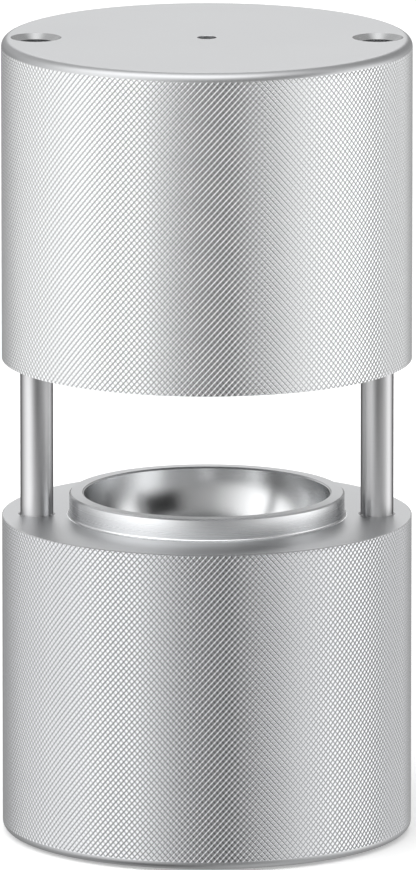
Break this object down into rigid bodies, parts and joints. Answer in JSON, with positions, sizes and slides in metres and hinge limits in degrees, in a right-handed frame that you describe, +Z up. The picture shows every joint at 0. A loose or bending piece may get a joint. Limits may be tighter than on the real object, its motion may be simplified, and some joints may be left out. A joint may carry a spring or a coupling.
{
  "type": "ice ball press",
  "caption": "Knurled cylindrical ball press: an upper block with half of a ball mould slides down guide rods onto a base block with the other half.",
  "frame": {"origin": "centre of the underside, in the plane of the pad that the press stands on", "axes": "+Z up along the guide rods, X through the axes of the two guide rods, -Y towards the front"},
  "size_m": [0.1, 0.1, 0.1965],
  "materials": {
    "anodised_aluminium": "clear anodised, satin, diamond knurled round the sides",
    "rod_steel": "ground bright",
    "screw_steel": "plain stainless",
    "silicone_rubber": "matte moulded",
    "acetal": "machined satin"
  },
  "bodies": {
    "base": {"base_block": "anodised_aluminium", "foot_pad": "silicone_rubber", "guide_rod_left": "rod_steel", "guide_rod_right": "rod_steel", "rod_screw_left": "screw_steel", "rod_screw_right": "screw_steel", "rod_washer_left": "screw_steel", "rod_washer_right": "screw_steel"},
    "press_head": {"top_block": "anodised_aluminium", "lower_bush_left": "acetal", "lower_bush_right": "acetal", "upper_bush_left": "acetal", "upper_bush_right": "acetal"}
  },
  "joints": [
    {"name": "press_slide", "type": "slide", "parent": "base", "child": "press_head", "axis": [0, 0, 1], "range_m": [-0.0389, 0.044]}
  ]
}
